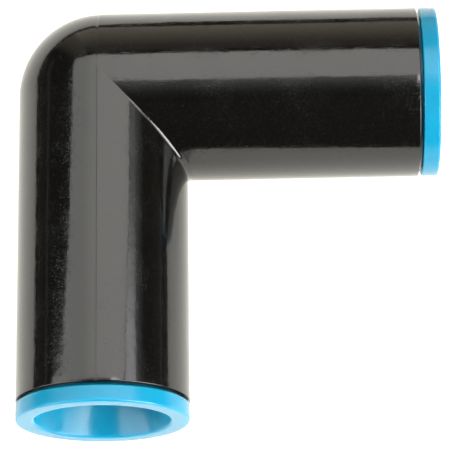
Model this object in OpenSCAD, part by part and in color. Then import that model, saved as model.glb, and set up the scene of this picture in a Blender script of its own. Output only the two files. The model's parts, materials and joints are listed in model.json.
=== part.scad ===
// Push to connect elbow: a 90 degree pipe fitting with a release ring on each port.
// The elbow lies flat. Port A points along -Y, port B along +X, and +Z is up.
// The origin is on port A's axis, in the plane where the inserted pipe stops.
// "Height" below is measured along a port's own axis, outwards from the centre
// of the elbow, where the two port axes cross.

/* [Pipe] */
// Outside diameter of the pipe that pushes in
pipe_d = 15; // [14.8:0.1:15.1]
// Depth from the release ring's face to the pipe stop
insert_depth = 25; // [25:0.5:28]
// Diameter of the flow passage behind the pipe stop
passage_d = 13; // [10:0.5:14]

/* [Body] */
// Outside diameter of both legs and of the round outer corner
body_d = 22.3; // [22.3:0.1:26]
// Distance from the centre of the elbow to the face of each release ring
centre_to_face = 44; // [42:1:60]
// Bevel at the outer edge of each mouth
mouth_bevel = 0.1; // [0.1:0.05:0.5]

/* [Release ring] */
// Thickness of the flange that the fingers press
flange_t = 2.2; // [1.8:0.1:2.8]
// Free gap between flange and body, which is the travel left to push
press_gap = 0.4; // [0.3:0.05:0.6]
// Inside diameter of the release ring's mouth, which tapers down to its bore
ring_mouth_d = 17.5; // [17.2:0.1:17.8]
// Inside diameter of the release ring's bore
ring_bore_d = 15.2; // [15.2:0.1:15.4]
// Depth of the tapered mouth
lead_in_len = 4.3; // [4:0.1:4.6]
// How far the flange stands back from the body's outside
flange_inset = 0.05; // [0:0.05:0.2]
// Radius of the flange's outer front edge
face_edge_r = 0.3; // [0.3:0.1:1]
// Number of slots that split the sleeve into spring legs
leg_slots = 4; // [2:1:6]

/* [Seal] */
// Inside diameter of the O-ring
seal_id = 14.6; // [14.5:0.1:14.7]
// Thickness of the O-ring's round section
seal_section = 1.78; // [1.6:0.02:1.8]

/* [Grip] */
// Number of teeth on the grab ring
tooth_count = 12; // [8:1:16]
// Thickness of the grab ring's spring steel
grip_t = 0.35; // [0.25:0.05:0.4]

/* [Hidden] */
$fn = 96;
eps = 0.5; // how far a cutting shape runs past the face that it cuts
fit_gap = 0.02; // gap between a ring and the pocket or groove that holds it

// Heights, from the pipe stop outwards
body_end = centre_to_face - flange_t - press_gap;
stop_h = centre_to_face - insert_depth;
socket_len = 10;
seal_h = stop_h + socket_len;
seal_w = 2.2;
pocket_h = seal_h + seal_w;
support_len = 2.2;
support_bore_len = 0.9;
grip_h = pocket_h + support_len;
grip_play = 0.05;
rim_h = grip_h + grip_play;
collar_h = rim_h + grip_t + grip_play;
collar_top = body_end - 1.5;
lip_len = 0.8;
lip_bevel = 0.3;
stop_lip_len = 1;
pilot_h = body_end - 1;
flange_h = body_end + press_gap;

// Radii, from the axis outwards
body_r = body_d / 2;
passage_r = passage_d / 2;
socket_r = pipe_d / 2 + 0.05;
seal_r = (seal_id + seal_section) / 2;
groove_r = seal_id / 2 + seal_section + fit_gap;
pocket_r = 10.05;
insert_r = pocket_r - fit_gap;
support_r = socket_r + 0.2;
tooth_root_r = 8.8;
support_mouth_r = tooth_root_r + 0.2;
tooth_tip_r = seal_id / 2;
relief_r = tooth_root_r - 0.1;
rim_r = pocket_r - 0.2;
flange_r = body_r - flange_inset;
ring_bore_r = ring_bore_d / 2;
ring_mouth_r = ring_mouth_d / 2;
sleeve_r = 8.7;
lip_r = sleeve_r + 0.1;
barb_r = 9.15;
recess_r = barb_r + 0.1;
pilot_r = pocket_r - 0.2;

// Snap bead that locks the collar in the body
bead_r = pocket_r + 0.28;
bead_w = 0.8;
bead_h = collar_top - 2;
bead_lo = bead_h - bead_w / 2;
bead_hi = bead_h + bead_w / 2;
bead_ramp = 0.3;

// Release sleeve: nose, snap barb and how far the ring can be pulled out
nose_h = rim_h + 0.2;
nose_r = 8.3;
nose_len = 0.8;
pull_travel = 1.2;
pull_spare = 0.05;
barb_top = collar_top - stop_lip_len - pull_travel - pull_spare;
barb_len = 0.65;
barb_ramp = 1.2;
slot_w = 1.2;
slot_top = pilot_h - 1;
back_bevel = 0.2;
entry_bevel = 0.3;
relief_w = 1.1;

centre = [0, stop_h, 0];

// A port's own axis is +Z here, and these two turn it to the port's direction.
module port_a() translate(centre) rotate([90, 0, 0]) children();
module port_b() translate(centre) rotate([0, 90, 0]) children();

// Outside of one leg, solid, with its bevelled mouth.
module leg() {
    rotate_extrude()
        polygon([
            [0, 0],
            [body_r, 0],
            [body_r, body_end - mouth_bevel],
            [body_r - mouth_bevel, body_end],
            [0, body_end]
        ]);
}

// Everything that is hollow in one leg: flow passage, pipe socket, seal groove,
// cartridge pocket and the groove for the collar's snap bead.
module leg_hollow() {
    rotate_extrude()
        polygon([
            [0, 0],
            [passage_r, 0],
            [passage_r, stop_h],
            [socket_r, stop_h],
            [socket_r, seal_h],
            [groove_r, seal_h],
            [groove_r, pocket_h],
            [pocket_r, pocket_h],
            [pocket_r, bead_lo - bead_ramp],
            [bead_r + fit_gap, bead_lo],
            [bead_r + fit_gap, bead_hi],
            [pocket_r, bead_hi],
            [pocket_r, body_end + eps],
            [0, body_end + eps]
        ]);
}

module elbow_body() {
    color([0.08, 0.08, 0.075])
        difference() {
            union() {
                port_a() leg();
                port_b() leg();
                translate(centre) sphere(body_r);
            }
            union() {
                port_a() leg_hollow();
                port_b() leg_hollow();
                translate(centre) sphere(passage_r);
            }
        }
}

// Profile of the release ring: finger flange with its tapered mouth, pilot, thin
// sleeve, snap barb and tapered nose.
module release_profile() {
    face_h = centre_to_face;
    edge_c = [flange_r - face_edge_r, face_h - face_edge_r];
    polygon([
        [ring_bore_r, nose_h],
        [nose_r, nose_h],
        [sleeve_r, nose_h + nose_len],
        [sleeve_r, barb_top - barb_len - barb_ramp],
        [barb_r, barb_top - barb_len],
        [barb_r, barb_top],
        [sleeve_r, barb_top],
        [sleeve_r, pilot_h],
        [pilot_r, pilot_h],
        [pilot_r, flange_h],
        [flange_r - back_bevel, flange_h],
        [flange_r, flange_h + back_bevel],
        [flange_r, edge_c[1]],
        edge_c,
        [edge_c[0], face_h],
        [ring_mouth_r + entry_bevel, face_h],
        [ring_mouth_r, face_h - entry_bevel],
        [ring_bore_r, face_h - lead_in_len]
    ]);
    translate(edge_c) circle(face_edge_r);
}

module release_ring() {
    color([0.16, 0.66, 0.80])
        difference() {
            rotate_extrude() release_profile();
            for (i = [0:leg_slots - 1])
                rotate([0, 0, 360 * i / leg_slots])
                    translate([0, -slot_w / 2, nose_h - eps])
                        cube([pilot_r, slot_w, slot_top - nose_h + eps]);
        }
}

// Press-in collar: holds the grab ring down and keeps the release ring's barbs in.
module retaining_collar() {
    color([0.13, 0.13, 0.13])
        rotate_extrude()
            polygon([
                [lip_r, collar_h],
                [insert_r, collar_h],
                [insert_r, bead_lo + fit_gap - bead_ramp],
                [bead_r, bead_lo + fit_gap],
                [bead_r, bead_hi - fit_gap],
                [insert_r, bead_hi - fit_gap],
                [insert_r, collar_top],
                [lip_r + lip_bevel, collar_top],
                [lip_r, collar_top - lip_bevel],
                [lip_r, collar_top - stop_lip_len],
                [recess_r, collar_top - stop_lip_len],
                [recess_r, collar_h + lip_len],
                [lip_r, collar_h + lip_len]
            ]);
}

// Toothed spring washer. Its teeth slope inwards, so a pipe slides in past them
// and they bite when it is pulled.
module grab_ring() {
    slope_run = tooth_root_r - tooth_tip_r;
    tooth_low = rim_h - slope_run;
    sheet_h = grip_t * sqrt(2);
    color([0.78, 0.78, 0.76])
        difference() {
            rotate_extrude()
                polygon([
                    [tooth_tip_r, tooth_low],
                    [tooth_root_r, rim_h],
                    [rim_r, rim_h],
                    [rim_r, rim_h + grip_t],
                    [tooth_root_r - (sheet_h - grip_t), rim_h + grip_t],
                    [tooth_tip_r, tooth_low + sheet_h]
                ]);
            for (i = [0:tooth_count - 1])
                rotate([0, 0, 360 * (i + 0.5) / tooth_count])
                    translate([0, -relief_w / 2, tooth_low - eps])
                        cube([relief_r, relief_w, slope_run + grip_t + 2 * eps]);
        }
}

// Backing ring: closes the seal groove and carries the bent teeth on its cone.
module support_ring() {
    color([0.86, 0.86, 0.83])
        rotate_extrude()
            polygon([
                [support_r, pocket_h],
                [insert_r, pocket_h],
                [insert_r, pocket_h + support_len],
                [support_mouth_r, pocket_h + support_len],
                [support_r, pocket_h + support_bore_len]
            ]);
}

module o_ring() {
    color([0.05, 0.05, 0.05])
        rotate_extrude()
            translate([seal_r, seal_h + seal_w / 2])
                circle(seal_section / 2);
}

module release_ring_a() port_a() release_ring();
module release_ring_b() port_b() release_ring();
module retaining_collar_a() port_a() retaining_collar();
module retaining_collar_b() port_b() retaining_collar();
module grab_ring_a() port_a() grab_ring();
module grab_ring_b() port_b() grab_ring();
module support_ring_a() port_a() support_ring();
module support_ring_b() port_b() support_ring();
module o_ring_a() port_a() o_ring();
module o_ring_b() port_b() o_ring();

elbow_body();
release_ring_a();
retaining_collar_a();
grab_ring_a();
support_ring_a();
o_ring_a();
release_ring_b();
retaining_collar_b();
grab_ring_b();
support_ring_b();
o_ring_b();
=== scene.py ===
import json
import math

import bmesh
import bpy
import numpy as np
from mathutils import Matrix, Vector


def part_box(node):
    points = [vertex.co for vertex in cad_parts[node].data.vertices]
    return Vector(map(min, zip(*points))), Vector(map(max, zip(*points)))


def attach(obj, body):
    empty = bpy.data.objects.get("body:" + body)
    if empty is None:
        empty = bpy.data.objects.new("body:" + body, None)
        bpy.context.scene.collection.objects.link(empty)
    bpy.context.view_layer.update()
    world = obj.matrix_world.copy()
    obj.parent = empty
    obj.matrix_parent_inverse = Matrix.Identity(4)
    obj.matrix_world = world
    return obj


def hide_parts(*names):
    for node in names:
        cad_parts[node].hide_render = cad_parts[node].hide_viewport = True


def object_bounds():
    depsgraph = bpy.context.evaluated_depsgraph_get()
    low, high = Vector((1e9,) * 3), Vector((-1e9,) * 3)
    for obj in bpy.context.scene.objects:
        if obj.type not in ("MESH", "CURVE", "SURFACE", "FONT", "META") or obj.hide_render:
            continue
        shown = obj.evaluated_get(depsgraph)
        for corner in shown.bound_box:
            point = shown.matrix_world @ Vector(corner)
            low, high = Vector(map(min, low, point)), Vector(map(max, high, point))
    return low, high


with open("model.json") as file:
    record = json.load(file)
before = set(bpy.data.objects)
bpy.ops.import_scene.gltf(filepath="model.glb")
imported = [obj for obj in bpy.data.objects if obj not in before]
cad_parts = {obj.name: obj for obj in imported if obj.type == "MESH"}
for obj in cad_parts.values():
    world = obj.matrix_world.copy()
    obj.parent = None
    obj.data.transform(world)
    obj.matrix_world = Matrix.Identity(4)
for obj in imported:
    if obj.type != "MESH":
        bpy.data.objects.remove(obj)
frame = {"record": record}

cad_box = [list(corner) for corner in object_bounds()]
MM = 0.001

# ---------------------------------------------------------------- sizes, in millimetres
# Heights run along a port's own axis, outwards from where the two axes cross.


def node_box_mm(node):
    """Lowest and highest corner of a CAD node, in millimetres."""
    return [np.array(corner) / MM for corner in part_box(node)]


body_lo, body_hi = node_box_mm("elbow_body")
ring_lo, ring_hi = node_box_mm("release_ring_a")
collar_lo, collar_hi = node_box_mm("retaining_collar_a")
support_lo, support_hi = node_box_mm("support_ring_a")
grab_lo, grab_hi = node_box_mm("grab_ring_a")
seal_lo, seal_hi = node_box_mm("o_ring_a")
port_dims = frame["record"]["mounts"][0]["dims"]

# Body: outside, pipe socket, flow passage, seal groove, cartridge pocket
BODY_R = body_hi[2]
CENTRE_Y = body_hi[1] - BODY_R
BODY_END = CENTRE_Y - body_lo[1]
FIT_GAP = 0.02
PASSAGE_R = 6.5
STOP_H = CENTRE_Y
SOCKET_R = port_dims["r_mm"]
SEAL_H = STOP_H + port_dims["length_mm"]
INSERT_R = support_hi[2]
POCKET_R = INSERT_R + FIT_GAP

# O-ring and its groove
SEAL_OUTER_R = seal_hi[2]
SEAL_SECTION_R = (seal_hi[1] - seal_lo[1]) / 2
SEAL_CENTRE_H = CENTRE_Y - (seal_hi[1] + seal_lo[1]) / 2
SEAL_FLASH = 0.012
GROOVE_R = SEAL_OUTER_R + FIT_GAP

# Grab ring
RIM_R = grab_hi[2]
RIM_TOP = CENTRE_Y - grab_lo[1]
SHEET_T = 0.35
TOOTH_ROOT_R = 8.8
TOOTH_TIP_R = 7.3
TOOTH_COUNT = 12
TOOTH_GAP_W = 1.1

# Support ring
SUPPORT_H = CENTRE_Y - support_hi[1]
SUPPORT_TOP = CENTRE_Y - support_lo[1]
SUPPORT_R = SOCKET_R + 0.2
SUPPORT_MOUTH_R = TOOTH_ROOT_R + 0.2
SUPPORT_BORE_LEN = 0.9

# Collar: lips, recess for the barbs, snap bead
COLLAR_H = CENTRE_Y - collar_hi[1]
COLLAR_TOP = CENTRE_Y - collar_lo[1]
BEAD_R = collar_hi[2]
BEAD_LO = COLLAR_TOP - 2.4
BEAD_HI = COLLAR_TOP - 1.6
BEAD_RAMP = 0.3
LIP_LEN = 0.8
LIP_BEVEL = 0.3
STOP_LIP_LEN = 1.0

# Release ring: flange, tapered mouth, sleeve with its slots, barbs and nose.
# The press clearance keeps its flange off the body when it is pressed home.
FACE_H = CENTRE_Y - ring_lo[1]
NOSE_H = CENTRE_Y - ring_hi[1]
FLANGE_R = ring_hi[2]
FLANGE_T = 2.2
PRESS_CLEARANCE = 0.02
FLANGE_H = FACE_H - FLANGE_T + PRESS_CLEARANCE
RING_MOUTH_R = 8.75
RING_BORE_R = 7.6
LEAD_IN_LEN = 4.3
SLEEVE_R = 8.7
NOSE_R = 8.3
NOSE_LEN = 0.8
PILOT_R = 9.85
PILOT_H = BODY_END - 1.0
LEG_SLOTS = 4
LEG_SLOT_W = 1.2
SLOT_TOP = PILOT_H - 1.0
BARB_R = 9.15
BARB_TOP = COLLAR_TOP - 2.25
BARB_LEN = 0.65
BARB_RAMP = 1.2
LIP_R = SLEEVE_R + 0.1
RECESS_R = BARB_R + 0.1

CUT_PAST = 1.0  # how far a cutting box runs past the piece that it cuts

# ---------------------------------------------------------------- mesh building


def port_matrix(port):
    """Turns a piece built along +Z from the crossing of the axes into its port."""
    turn = Matrix.Rotation(math.pi / 2, 4, "X" if port == "a" else "Y")
    return Matrix.Translation((0, CENTRE_Y * MM, 0)) @ turn @ Matrix.Scale(MM, 4)


def rounded(corners, closed=True, steps=5):
    """Outline through corners (r, h, fillet), with a small arc in place of each corner."""
    points = []
    count = len(corners)
    for i, (r, h, fillet) in enumerate(corners):
        here = np.array([r, h], float)
        if fillet == 0 or (not closed and i in (0, count - 1)):
            points.append(here)
            continue
        before = np.array(corners[i - 1][:2], float) - here
        after = np.array(corners[(i + 1) % count][:2], float) - here
        u = before / np.linalg.norm(before)
        v = after / np.linalg.norm(after)
        half = math.acos(np.clip(np.dot(u, v), -1, 1)) / 2
        reach = min(fillet / math.tan(half), 0.45 * min(np.linalg.norm(before), np.linalg.norm(after)))
        radius = reach * math.tan(half)
        bisector = (u + v) / np.linalg.norm(u + v)
        centre = here + bisector * radius / math.sin(half)
        start, end = here + u * reach - centre, here + v * reach - centre
        sweep = math.atan2(start[0] * end[1] - start[1] * end[0], np.dot(start, end))
        for k in range(steps + 1):
            a = sweep * k / steps
            turned = (start[0] * math.cos(a) - start[1] * math.sin(a),
                      start[0] * math.sin(a) + start[1] * math.cos(a))
            points.append(centre + turned)
    return points


def make_object(name, verts, faces, matrix):
    """A mesh object in the row frame, with clean outward normals and smooth shading."""
    mesh = bpy.data.meshes.new(name)
    mesh.from_pydata([matrix @ Vector(v) for v in verts], [], faces)
    bm = bmesh.new()
    bm.from_mesh(mesh)
    bmesh.ops.remove_doubles(bm, verts=bm.verts, dist=2e-4 * MM)
    bmesh.ops.recalc_face_normals(bm, faces=bm.faces)
    bm.to_mesh(mesh)
    bm.free()
    mesh.polygons.foreach_set("use_smooth", [True] * len(mesh.polygons))
    piece = bpy.data.objects.new(name, mesh)
    bpy.context.scene.collection.objects.link(piece)
    return piece


def grid_faces(rows, columns):
    """Quads of a grid that closes on itself both ways."""
    faces = []
    for i in range(rows):
        for j in range(columns):
            i2, j2 = (i + 1) % rows, (j + 1) % columns
            faces.append((i * columns + j, i2 * columns + j, i2 * columns + j2, i * columns + j2))
    return faces


def revolve(name, outline, port, segments=144):
    """A closed outline of (r, h) points turned round a port's axis."""
    verts = []
    for i in range(segments):
        a = 2 * math.pi * i / segments
        verts += [(r * math.cos(a), r * math.sin(a), h) for r, h in outline]
    return make_object(name, verts, grid_faces(segments, len(outline)), port_matrix(port))


def cut(piece, boxes, port):
    """Cuts boxes, each (angle, low corner, high corner) about the port's axis, out of a piece."""
    verts, faces = [], []
    for angle, lo, hi in boxes:
        c, s = math.cos(angle), math.sin(angle)
        base = len(verts)
        for z in (lo[2], hi[2]):
            for x, y in ((lo[0], lo[1]), (hi[0], lo[1]), (hi[0], hi[1]), (lo[0], hi[1])):
                verts.append((x * c - y * s, x * s + y * c, z))
        quads = [(0, 3, 2, 1), (4, 5, 6, 7), (0, 1, 5, 4), (1, 2, 6, 5), (2, 3, 7, 6), (3, 0, 4, 7)]
        faces += [tuple(base + v for v in quad) for quad in quads]
    cutter = make_object(piece.name + "_cutter", verts, faces, port_matrix(port))
    boolean = piece.modifiers.new("cut", "BOOLEAN")
    boolean.operation, boolean.solver, boolean.object = "DIFFERENCE", "EXACT", cutter
    evaluated = piece.evaluated_get(bpy.context.evaluated_depsgraph_get())
    cut_mesh = bpy.data.meshes.new_from_object(evaluated)
    piece.modifiers.clear()
    piece.data = cut_mesh
    bpy.data.objects.remove(cutter)


def finish_shading(piece, sharp_deg=50):
    """Smooth shading that stays flat on flat faces and breaks only at true edges."""
    piece.data.set_sharp_from_angle(angle=math.radians(sharp_deg))
    weighted = piece.modifiers.new("weighted_normals", "WEIGHTED_NORMAL")
    weighted.keep_sharp = True
    weighted.weight = 100


# ---------------------------------------------------------------- elbow body

CREASE_R = 0.75
INNER_CREASE_R = 0.5
PARTING_STEP = 0.045
PARTING_W = 0.09
BEND_STEPS = 30

LEG_CORNERS = [
    (BODY_R, BODY_END - 1.0, 0),
    (BODY_R, BODY_END, 0.1),
    (POCKET_R, BODY_END, 0.12),
    (POCKET_R, BEAD_HI, 0.05),
    (BEAD_R + FIT_GAP, BEAD_HI, 0.05),
    (BEAD_R + FIT_GAP, BEAD_LO, 0.05),
    (POCKET_R, BEAD_LO - BEAD_RAMP, 0.05),
    (POCKET_R, SUPPORT_H, 0.05),
    (GROOVE_R, SUPPORT_H, 0.1),
    (GROOVE_R, SEAL_H, 0.15),
    (SOCKET_R, SEAL_H, 0.2),
    (SOCKET_R, STOP_H, 0.15),
    (PASSAGE_R, STOP_H, 0.25),
    (PASSAGE_R, STOP_H - 1.0, 0),
]


def bend_points(radius, crease_r, angle, step=0.0):
    """Points round the bend from leg A to leg B, for one angle round the legs' section.

    On the outer side they follow a sphere, and on the inner side the fillet in the crease.
    step sinks everything on the -X side of leg A's axis, which leaves the mould's parting line.
    """
    s, c = math.sin(angle), math.cos(angle)
    points = []
    if s > 1e-9:
        ball = (radius + crease_r) * np.array([s, -s, c])
        for t in np.linspace(0, 1, BEND_STEPS + 1):
            normal = (1 - t) * np.array([s, 0, c]) + t * np.array([0, -s, c])
            points.append(ball - crease_r * normal / np.linalg.norm(normal))
        return points
    around = radius * abs(s)
    last = math.pi / 2 - min(math.asin(min(1, PARTING_W / max(around, 1e-9))), 0.5)
    turns = list(np.linspace(0, last, BEND_STEPS)) + [math.pi / 2]
    for turn in turns:
        normal = np.array([-abs(s) * math.cos(turn), abs(s) * math.sin(turn), c])
        sunk = min(1, -radius * normal[0] / PARTING_W)
        points.append(normal * (radius - step * sunk))
    return points


def elbow_verts():
    """All rows of the elbow: round the outside, in at port B, through the bore, out at port A."""
    fine = math.degrees(PARTING_W / BODY_R)
    degrees = [2 * i for i in range(180)] + [360 - fine, 360 - fine / 2, 180 + fine / 2, 180 + fine]
    degrees.sort()
    profile = rounded(LEG_CORNERS, closed=False)
    verts = []
    for degree in degrees:
        a = math.radians(degree)
        s, c = math.sin(a), math.cos(a)
        sunk = min(1, max(0, -BODY_R * s / PARTING_W)) * PARTING_STEP
        row = bend_points(BODY_R, CREASE_R, a, PARTING_STEP)
        row += [(h, -r * s, r * c) for r, h in profile]
        row += bend_points(PASSAGE_R, INNER_CREASE_R, a)[::-1]
        for r, h in reversed(profile):
            r_sunk = r - sunk if r > BODY_R - 0.3 else r
            row.append((r_sunk * s, -h, r_sunk * c))
        verts += [tuple(p) for p in row]
    return verts, len(degrees)


def build_elbow():
    """The one-piece body: outside, bores and the bend between them."""
    verts, rows = elbow_verts()
    at_crossing = Matrix.Translation((0, CENTRE_Y * MM, 0)) @ Matrix.Scale(MM, 4)
    faces = grid_faces(rows, len(verts) // rows)
    elbow = make_object("elbow_shell", verts, faces, at_crossing)
    finish_shading(elbow, 60)
    return elbow


# ---------------------------------------------------------------- parts in each port


def build_release_ring(port):
    """Finger flange with its tapered mouth, and the slotted sleeve behind it."""
    corners = [
        (RING_BORE_R, NOSE_H, 0.06),
        (NOSE_R, NOSE_H, 0.1),
        (SLEEVE_R, NOSE_H + NOSE_LEN, 0),
        (SLEEVE_R, BARB_TOP - BARB_LEN - BARB_RAMP, 0),
        (BARB_R, BARB_TOP - BARB_LEN, 0.1),
        (BARB_R, BARB_TOP, 0.06),
        (SLEEVE_R, BARB_TOP, 0.08),
        (SLEEVE_R, PILOT_H, 0.1),
        (PILOT_R, PILOT_H, 0.15),
        (PILOT_R, FLANGE_H, 0.08),
        (FLANGE_R, FLANGE_H, 0.22),
        (FLANGE_R, FACE_H, 0.3),
        (RING_MOUTH_R, FACE_H, 0.5),
        (RING_BORE_R, FACE_H - LEAD_IN_LEN, 0.6),
    ]
    ring = revolve("release_ring_" + port + "_moulded", rounded(corners), port, 192)
    slots = []
    for i in range(LEG_SLOTS):
        angle = 2 * math.pi * i / LEG_SLOTS
        low = (0, -LEG_SLOT_W / 2, NOSE_H - CUT_PAST)
        high = (PILOT_R, LEG_SLOT_W / 2, SLOT_TOP)
        slots.append((angle, low, high))
    cut(ring, slots, port)
    finish_shading(ring)
    return ring


def build_collar(port):
    """Snap-in collar with the two lips that the release ring slides in."""
    corners = [
        (LIP_R, COLLAR_H, 0.1),
        (INSERT_R, COLLAR_H, 0.1),
        (INSERT_R, BEAD_LO + FIT_GAP - BEAD_RAMP, 0.05),
        (BEAD_R, BEAD_LO + FIT_GAP, 0.05),
        (BEAD_R, BEAD_HI - FIT_GAP, 0.05),
        (INSERT_R, BEAD_HI - FIT_GAP, 0.05),
        (INSERT_R, COLLAR_TOP, 0.1),
        (LIP_R + LIP_BEVEL, COLLAR_TOP, 0.05),
        (LIP_R, COLLAR_TOP - LIP_BEVEL, 0.05),
        (LIP_R, COLLAR_TOP - STOP_LIP_LEN, 0.05),
        (RECESS_R, COLLAR_TOP - STOP_LIP_LEN, 0.05),
        (RECESS_R, COLLAR_H + LIP_LEN, 0.05),
        (LIP_R, COLLAR_H + LIP_LEN, 0.05),
    ]
    collar = revolve("retaining_collar_" + port + "_moulded", rounded(corners), port)
    finish_shading(collar)
    return collar


def build_support_ring(port):
    """Backing ring with the cone that carries the bent teeth."""
    corners = [
        (SUPPORT_R, SUPPORT_H, 0.08),
        (INSERT_R, SUPPORT_H, 0.1),
        (INSERT_R, SUPPORT_TOP, 0.1),
        (SUPPORT_MOUTH_R, SUPPORT_TOP, 0.08),
        (SUPPORT_R, SUPPORT_H + SUPPORT_BORE_LEN, 0.08),
    ]
    support = revolve("support_ring_" + port + "_moulded", rounded(corners), port)
    finish_shading(support)
    return support


def build_grab_ring(port):
    """Toothed spring washer, bent from sheet."""
    rim_base = RIM_TOP - SHEET_T
    run = TOOTH_ROOT_R - TOOTH_TIP_R
    slant_t = SHEET_T * math.sqrt(2)
    corners = [
        (TOOTH_TIP_R, rim_base - run, 0.03),
        (TOOTH_ROOT_R, rim_base, 0.35),
        (RIM_R, rim_base, 0.05),
        (RIM_R, RIM_TOP, 0.05),
        (TOOTH_ROOT_R - slant_t + SHEET_T, RIM_TOP, 0.1),
        (TOOTH_TIP_R, rim_base - run + slant_t, 0.03),
    ]
    grab = revolve("grab_ring_" + port + "_stamped", rounded(corners, steps=4), port)
    gaps = []
    for i in range(TOOTH_COUNT):
        angle = 2 * math.pi * (i + 0.5) / TOOTH_COUNT
        low = (0, -TOOTH_GAP_W / 2, rim_base - run - CUT_PAST)
        high = (TOOTH_ROOT_R - 0.1, TOOTH_GAP_W / 2, RIM_TOP + CUT_PAST)
        gaps.append((angle, low, high))
    cut(grab, gaps, port)
    finish_shading(grab, 35)
    return grab


def build_o_ring(port):
    """A round section with the faint flash line that its mould leaves inside and outside."""
    centre_r = SEAL_OUTER_R - SEAL_SECTION_R
    steps = 40
    outline = []
    for i in range(steps):
        a = 2 * math.pi * i / steps
        on_flash = i % (steps // 2) == 0
        r = SEAL_SECTION_R - (0 if on_flash else SEAL_FLASH)
        outline.append((centre_r + r * math.cos(a), SEAL_CENTRE_H + r * math.sin(a)))
    return revolve("o_ring_" + port + "_moulded", outline, port)


# ---------------------------------------------------------------- materials


def new_material(name):
    """A node material, with its node tree and its shader."""
    material = bpy.data.materials.new(name)
    material.use_nodes = True
    tree = material.node_tree
    shader = tree.nodes["Principled BSDF"]
    return material, tree, shader


def add_noise(tree, scale, detail=4, roughness=0.5, stretch=(1, 1, 1)):
    """Noise over the object's own space, in cycles per millimetre."""
    where = tree.nodes.new("ShaderNodeTexCoord")
    mapping = tree.nodes.new("ShaderNodeMapping")
    mapping.inputs["Scale"].default_value = [scale / MM * k for k in stretch]
    noise = tree.nodes.new("ShaderNodeTexNoise")
    noise.inputs["Scale"].default_value = 1
    noise.inputs["Detail"].default_value = detail
    noise.inputs["Roughness"].default_value = roughness
    tree.links.new(where.outputs["Object"], mapping.inputs["Vector"])
    tree.links.new(mapping.outputs["Vector"], noise.inputs["Vector"])
    return noise.outputs["Fac"]


def add_range(tree, value, from_lo, from_hi, to_lo, to_hi):
    """Maps a value from one range to another, clamped."""
    node = tree.nodes.new("ShaderNodeMapRange")
    for i, number in enumerate((from_lo, from_hi, to_lo, to_hi)):
        node.inputs[i + 1].default_value = number
    tree.links.new(value, node.inputs["Value"])
    return node.outputs["Result"]


def add_math(tree, operation, a, b):
    """One sum of two values, each a number or a node's output."""
    node = tree.nodes.new("ShaderNodeMath")
    node.operation = operation
    for socket, value in zip(node.inputs, (a, b)):
        if isinstance(value, (int, float)):
            socket.default_value = value
        else:
            tree.links.new(value, socket)
    return node.outputs["Value"]


def add_colours(tree, value, low, high):
    """Blends two colours by a value from 0 to 1."""
    node = tree.nodes.new("ShaderNodeMix")
    node.data_type = "RGBA"
    node.inputs["A"].default_value = (*low, 1)
    node.inputs["B"].default_value = (*high, 1)
    tree.links.new(value, node.inputs["Factor"])
    return node.outputs["Result"]


def add_bump(tree, shader, height, distance_mm, normal=None):
    """Adds relief to a shader, on top of an earlier bump if its normal is given."""
    node = tree.nodes.new("ShaderNodeBump")
    node.inputs["Strength"].default_value = 1
    node.inputs["Distance"].default_value = distance_mm * MM
    tree.links.new(height, node.inputs["Height"])
    if normal is not None:
        tree.links.new(normal, node.inputs["Normal"])
    tree.links.new(node.outputs["Normal"], shader.inputs["Normal"])
    return node.outputs["Normal"]


def body_plastic():
    """Gloss black moulding: faint ripple, patches of haze, clustered pits, hairlines and dust."""
    material, tree, shader = new_material("body_plastic")
    patches = add_noise(tree, 0.13, 5, 0.65)
    scuff = add_noise(tree, 2.2, 6, 0.7)
    dust = add_range(tree, add_noise(tree, 5.0, 1), 0.74, 0.78, 0, 1)
    spread = add_range(tree, patches, 0.45, 0.72, 0, 0.1)
    specks = add_math(tree, "ADD", add_noise(tree, 14.0, 1), spread)
    speckle = add_range(tree, specks, 0.66, 0.7, 0, 0.24)
    rough = add_range(tree, patches, 0.35, 0.72, 0.06, 0.12)
    rough = add_math(tree, "ADD", rough, add_range(tree, scuff, 0.55, 0.8, 0, 0.05))
    rough = add_math(tree, "ADD", rough, speckle)
    rough = add_math(tree, "ADD", rough, add_math(tree, "MULTIPLY", dust, 0.3))
    tree.links.new(rough, shader.inputs["Roughness"])
    tree.links.new(add_colours(tree, dust, (0.0018, 0.0017, 0.0015), (0.014, 0.013, 0.012)),
                   shader.inputs["Base Color"])
    shader.inputs["IOR"].default_value = 1.5
    normal = add_bump(tree, shader, add_noise(tree, 0.22, 2), 0.03)
    normal = add_bump(tree, shader, add_noise(tree, 1.1, 2, 0.5), 0.005, normal=normal)
    for stretch in ((7, 0.3, 7), (0.35, 6, 6), (5, 0.5, 2)):
        hairs = add_range(tree, add_noise(tree, 1.0, 2, 0.5, stretch), 0.62, 0.7, 0, 1)
        normal = add_bump(tree, shader, hairs, 0.0015, normal=normal)
    cluster = add_range(tree, add_noise(tree, 0.25, 3, 0.6), 0.42, 0.62, 0, 1)
    pits = add_range(tree, add_noise(tree, 3.4, 2, 0.5), 0.6, 0.68, 0, -1)
    add_bump(tree, shader, add_math(tree, "MULTIPLY", pits, cluster), 0.006, normal=normal)
    return material


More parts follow.
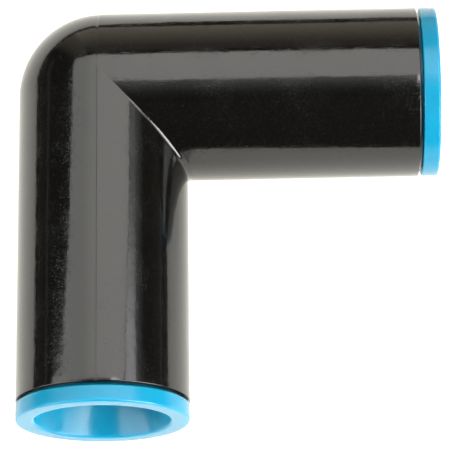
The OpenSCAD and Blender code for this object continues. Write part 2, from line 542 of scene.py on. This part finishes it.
def ring_plastic():
    """Satin blue moulding, slightly translucent, with mottled tint and a fine grain."""
    material, tree, shader = new_material("ring_plastic")
    mottle = add_noise(tree, 0.35, 3)
    grain = add_noise(tree, 6.0, 3, 0.6)
    tree.links.new(add_colours(tree, mottle, (0.003, 0.168, 0.275), (0.005, 0.19, 0.305)),
                   shader.inputs["Base Color"])
    tree.links.new(add_range(tree, mottle, 0.3, 0.7, 0.2, 0.27), shader.inputs["Roughness"])
    shader.inputs["IOR"].default_value = 1.36
    shader.inputs["Subsurface Weight"].default_value = 0.8
    shader.inputs["Subsurface Radius"].default_value = (0.3, 0.9, 1.0)
    shader.inputs["Subsurface Scale"].default_value = 2.4 * MM
    ripple = add_bump(tree, shader, add_noise(tree, 0.5, 2), 0.01)
    add_bump(tree, shader, grain, 0.0015, normal=ripple)
    return material


def matt_plastic(name, low, high, rough):
    """Plain moulding of the hidden rings, with mottled tint and a fine grain."""
    material, tree, shader = new_material(name)
    mottle = add_noise(tree, 0.6, 4)
    tree.links.new(add_colours(tree, mottle, low, high), shader.inputs["Base Color"])
    tree.links.new(add_range(tree, mottle, 0.3, 0.7, rough - 0.06, rough + 0.06),
                   shader.inputs["Roughness"])
    add_bump(tree, shader, add_noise(tree, 5.0, 4, 0.6), 0.003)
    return material


def grip_steel():
    """Stamped stainless strip: rolled grain across the teeth and slight stains."""
    material, tree, shader = new_material("grip_steel")
    grain = add_noise(tree, 1.0, 3, 0.6, (14, 14, 0.6))
    stain = add_noise(tree, 0.5, 4)
    tree.links.new(add_colours(tree, stain, (0.50, 0.49, 0.47), (0.62, 0.62, 0.61)),
                   shader.inputs["Base Color"])
    tree.links.new(add_range(tree, grain, 0.3, 0.7, 0.2, 0.36), shader.inputs["Roughness"])
    shader.inputs["Metallic"].default_value = 1
    add_bump(tree, shader, grain, 0.002)
    return material


def seal_rubber():
    """Black nitrile with a soft bloom and a fine grain."""
    material, tree, shader = new_material("seal_rubber")
    bloom = add_noise(tree, 0.8, 4)
    tree.links.new(add_colours(tree, bloom, (0.008, 0.008, 0.008), (0.022, 0.021, 0.02)),
                   shader.inputs["Base Color"])
    tree.links.new(add_range(tree, bloom, 0.3, 0.7, 0.38, 0.55), shader.inputs["Roughness"])
    add_bump(tree, shader, add_noise(tree, 8.0, 3, 0.6), 0.002)
    return material


MATERIALS = {
    "body_plastic": body_plastic(),
    "ring_plastic": ring_plastic(),
    "collar_plastic": matt_plastic("collar_plastic", (0.012, 0.012, 0.012), (0.02, 0.02, 0.021), 0.45),
    "support_plastic": matt_plastic("support_plastic", (0.66, 0.65, 0.6), (0.74, 0.73, 0.69), 0.4),
    "grip_steel": grip_steel(),
    "seal_rubber": seal_rubber(),
}


def place(piece, node, body, slot_name):
    """Gives a piece its material, and makes it stand for a CAD node on that node's body."""
    piece.data.materials.clear()
    piece.data.materials.append(MATERIALS[slot_name])
    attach(piece, body)
    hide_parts(node)


place(build_elbow(), "elbow_body", "fitting", "body_plastic")
for port in ("a", "b"):
    place(build_release_ring(port), "release_ring_" + port, "release_" + port, "ring_plastic")
    place(build_collar(port), "retaining_collar_" + port, "fitting", "collar_plastic")
    place(build_support_ring(port), "support_ring_" + port, "fitting", "support_plastic")
    place(build_grab_ring(port), "grab_ring_" + port, "grip_" + port, "grip_steel")
    place(build_o_ring(port), "o_ring_" + port, "fitting", "seal_rubber")

# ---------------------------------------------------------------- floor, light and camera
# Everything here is placed from the crossing of the axes, in millimetres.

CROSSING = Vector((0, CENTRE_Y * MM, 0))
FLOOR_Z = cad_box[0][2] / MM - CROSSING[2] / MM
FLOOR_GLOW = 1.15
BOX_H = 400
WHITE = (1, 1, 1)
GREENISH = (0.72, 0.73, 0.69)
WARM = (1.0, 0.96, 0.92)
BROWN = (0.95, 0.84, 0.68)
COOL = (0.85, 0.95, 1.0)


def add_ramp(tree, axis, stops):
    """Colour that runs along one axis through stops of (position in mm, colour)."""
    where = tree.nodes.new("ShaderNodeTexCoord")
    split = tree.nodes.new("ShaderNodeSeparateXYZ")
    tree.links.new(where.outputs["Object"], split.inputs["Vector"])
    lo, hi = stops[0][0], stops[-1][0]
    origin = CROSSING["XYZ".index(axis)]
    along = add_range(tree, split.outputs[axis], lo * MM + origin, hi * MM + origin, 0, 1)
    ramp = tree.nodes.new("ShaderNodeValToRGB")
    while len(ramp.color_ramp.elements) < len(stops):
        ramp.color_ramp.elements.new(0.5)
    for element, (position, colour) in zip(ramp.color_ramp.elements, stops):
        element.position = (position - lo) / (hi - lo)
        element.color = (*colour, 1)
    tree.links.new(along, ramp.inputs["Fac"])
    return ramp.outputs["Color"]


def light_card(name, corners, strength, axis, stops):
    """A flat glowing card, unseen by the camera, shaded along one axis."""
    mesh = bpy.data.meshes.new(name)
    mesh.from_pydata([CROSSING + Vector(c) * MM for c in corners], [], [tuple(range(len(corners)))])
    card = bpy.data.objects.new(name, mesh)
    bpy.context.scene.collection.objects.link(card)
    material = bpy.data.materials.new(name)
    material.use_nodes = True
    tree = material.node_tree
    tree.nodes.clear()
    glow = tree.nodes.new("ShaderNodeEmission")
    glow.inputs["Strength"].default_value = strength
    tree.links.new(add_ramp(tree, axis, stops), glow.inputs["Color"])
    out = tree.nodes.new("ShaderNodeOutputMaterial")
    tree.links.new(glow.outputs["Emission"], out.inputs["Surface"])
    mesh.materials.append(material)
    card.visible_camera = False


def even_card(name, corners, strength, colour=WHITE):
    """A light card of one colour all over."""
    light_card(name, corners, strength, "Z", [(0, colour), (1, colour)])


def build_floor():
    """A white, evenly lit sheet that the fitting lies on."""
    corners = [(-125, -154), (13, -154), (44, -90), (115, -60),
               (115, 95), (5, 95), (-14, 150), (-125, 150)]
    mesh = bpy.data.meshes.new("floor")
    mesh.from_pydata([CROSSING + Vector((x, y, FLOOR_Z)) * MM for x, y in corners], [],
                     [tuple(range(len(corners)))])
    floor = bpy.data.objects.new("floor", mesh)
    bpy.context.scene.collection.objects.link(floor)
    material, tree, shader = new_material("floor_white")
    shader.inputs["Base Color"].default_value = (0.3, 0.3, 0.3, 1)
    shader.inputs["Roughness"].default_value = 0.9
    shader.inputs["Specular IOR Level"].default_value = 0
    stops = [(-154, (1, 0.96, 0.78)), (-60, (1, 0.97, 0.84)), (150, (1, 0.97, 0.87))]
    warmth = add_ramp(tree, "Y", stops)
    tree.links.new(warmth, shader.inputs["Emission Color"])
    shader.inputs["Emission Strength"].default_value = FLOOR_GLOW
    mesh.materials.append(material)


def grey(level, tint=WHITE):
    """A level of light, from 0 to 1, in a tint."""
    return tuple(level * t for t in tint)


def build_softbox():
    """Overhead softbox: a slanting left side, a dim skirt in front and a second panel on its right."""
    outline = [(-310, 360), (-310, 182), (-341, 170), (-354, 151), (-400, 138), (-466, 130),
               (-627, 153), (-854, 190), (-854, 15), (-18, 15), (5, 14), (31, 9), (61, 4),
               (240, 4), (262, 100), (318, 150), (318, 320), (67, 334), (30, 341), (-30, 348)]
    light_card("softbox", [(x, y, BOX_H) for x, y in outline], 4.0, "X",
               [(-700, GREENISH), (-420, grey(1.12, GREENISH)), (-300, GREENISH), (-150, GREENISH),
                (-20, WARM), (312, WARM)])
    side = [(250, 4), (545, 4), (440, 175), (430, 320), (328, 320), (328, 150), (272, 100)]
    light_card("softbox_side", [(x, y, BOX_H) for x, y in side], 4.8, "Y",
               [(100, grey(1)), (120, grey(0.84)), (140, grey(0.52)), (165, grey(0.28)),
                (320, grey(0.25))])
    tail = [(430, 4), (700, 4), (700, 320), (430, 320)]
    light_card("softbox_tail", [(x, y, BOX_H - 1) for x, y in tail], 4.0, "X",
               [(430, grey(0.2)), (520, grey(0.12)), (600, grey(0.05)), (700, grey(0))])
    skirt = [(-300, -190), (-300, 14), (300, 14), (300, -190)]
    light_card("softbox_skirt", [(x, y, BOX_H - 2) for x, y in skirt], 4.0, "Y",
               [(-190, grey(0)), (-105, grey(0.03)), (-80, grey(0.065)), (-40, grey(0.13)),
                (14, grey(0.26))])


def upright(x_ends, y_ends, z_ends):
    """Corners of an upright card between two points on the floor plan."""
    (x1, x2), (y1, y2), (z1, z2) = x_ends, y_ends, z_ends
    return [(x1, y1, z1), (x2, y2, z1), (x2, y2, z2), (x1, y1, z2)]


def build_room():
    """Walls that the black plastic mirrors: pale behind, and dim with a bright seam at the sides."""
    light_card("wall", upright((-60, 400), (150, 150), (4, 150)), 1.25, "Z",
               [(4, grey(1, BROWN)), (45, grey(0.8, BROWN)), (80, grey(0.55, BROWN)),
                (115, grey(0.3, BROWN)), (150, grey(0.25, BROWN))])
    light_card("wall_end", upright((-150, -60), (150, 150), (4, 150)), 1.0, "X",
               [(-150, grey(0)), (-115, grey(0.3, BROWN)), (-60, grey(0.65, BROWN))])
    light_card("room_left", upright((-400, -400), (-100, 300), (FLOOR_Z, 125)), 1.0, "Z",
               [(FLOOR_Z, grey(0.15, BROWN)), (90, grey(0.05)), (100, grey(0.4)), (125, grey(0.05))])
    light_card("room_right", upright((400, 400), (-100, 300), (FLOOR_Z, 250)), 1.0, "Z",
               [(FLOOR_Z, grey(0.08)), (20, grey(0.08)), (28, grey(0.5)), (40, grey(0.14, BROWN)),
                (150, grey(0.06, BROWN)), (250, grey(0.04))])


def build_panels():
    """Glowing panels in front: the mouths mirror the low ones, and the inner crease the tall ones."""
    right = [(250, -118, 45), (250, -40, 45), (190, -40, 370), (190, -118, 370)]
    even_card("panel_right", right, 4.8)
    left = [(-250, -200, 20), (-250, -40, 20), (-166, -40, 340), (-166, -200, 340)]
    even_card("panel_left", left, 5.8)
    high = [(250, -300, FLOOR_Z), (250, -150, FLOOR_Z), (236, -150, 45), (236, -118, 45),
            (172, -118, 300), (172, -300, 300)]
    even_card("panel_high", high, 17.0)
    top = [(105, -40), (105, 15), (150, 15), (235, -20), (228, -110), (150, -85)]
    even_card("panel_top", [(x, y, BOX_H - 10) for x, y in top], 10.0)
    even_card("panel_front", upright((-440, -120), (-360, -360), (0, 320)), 2.6, COOL)


def build_world():
    """White behind the object for the camera, and a dark room for everything else."""
    world = bpy.data.worlds.new("studio")
    world.use_nodes = True
    tree = world.node_tree
    tree.nodes.clear()
    path = tree.nodes.new("ShaderNodeLightPath")
    room = tree.nodes.new("ShaderNodeBackground")
    room.inputs["Color"].default_value = (0.05, 0.048, 0.045, 1)
    backdrop = tree.nodes.new("ShaderNodeBackground")
    backdrop.inputs["Color"].default_value = (1, 1, 1, 1)
    mix = tree.nodes.new("ShaderNodeMixShader")
    out = tree.nodes.new("ShaderNodeOutputWorld")
    tree.links.new(path.outputs["Is Camera Ray"], mix.inputs["Fac"])
    tree.links.new(room.outputs["Background"], mix.inputs[1])
    tree.links.new(backdrop.outputs["Background"], mix.inputs[2])
    tree.links.new(mix.outputs["Shader"], out.inputs["Surface"])
    bpy.context.scene.world = world


def build_camera():
    """Long lens above and in front of the elbow, turned so that both legs fill the frame."""
    data = bpy.data.cameras.new("camera")
    data.sensor_width = 36
    data.lens = 197.2
    data.clip_start, data.clip_end = 0.01, 10
    camera = bpy.data.objects.new("camera", data)
    camera.location = (0.0218, -0.09855, 0.3050)
    camera.rotation_mode = "ZXY"
    camera.rotation_euler = (math.radians(18.08), math.radians(1.11), math.radians(-0.786))
    bpy.context.scene.collection.objects.link(camera)
    bpy.context.scene.camera = camera


build_floor()
build_softbox()
build_room()
build_panels()
build_world()
build_camera()
bpy.context.scene.view_settings.view_transform = "Standard"
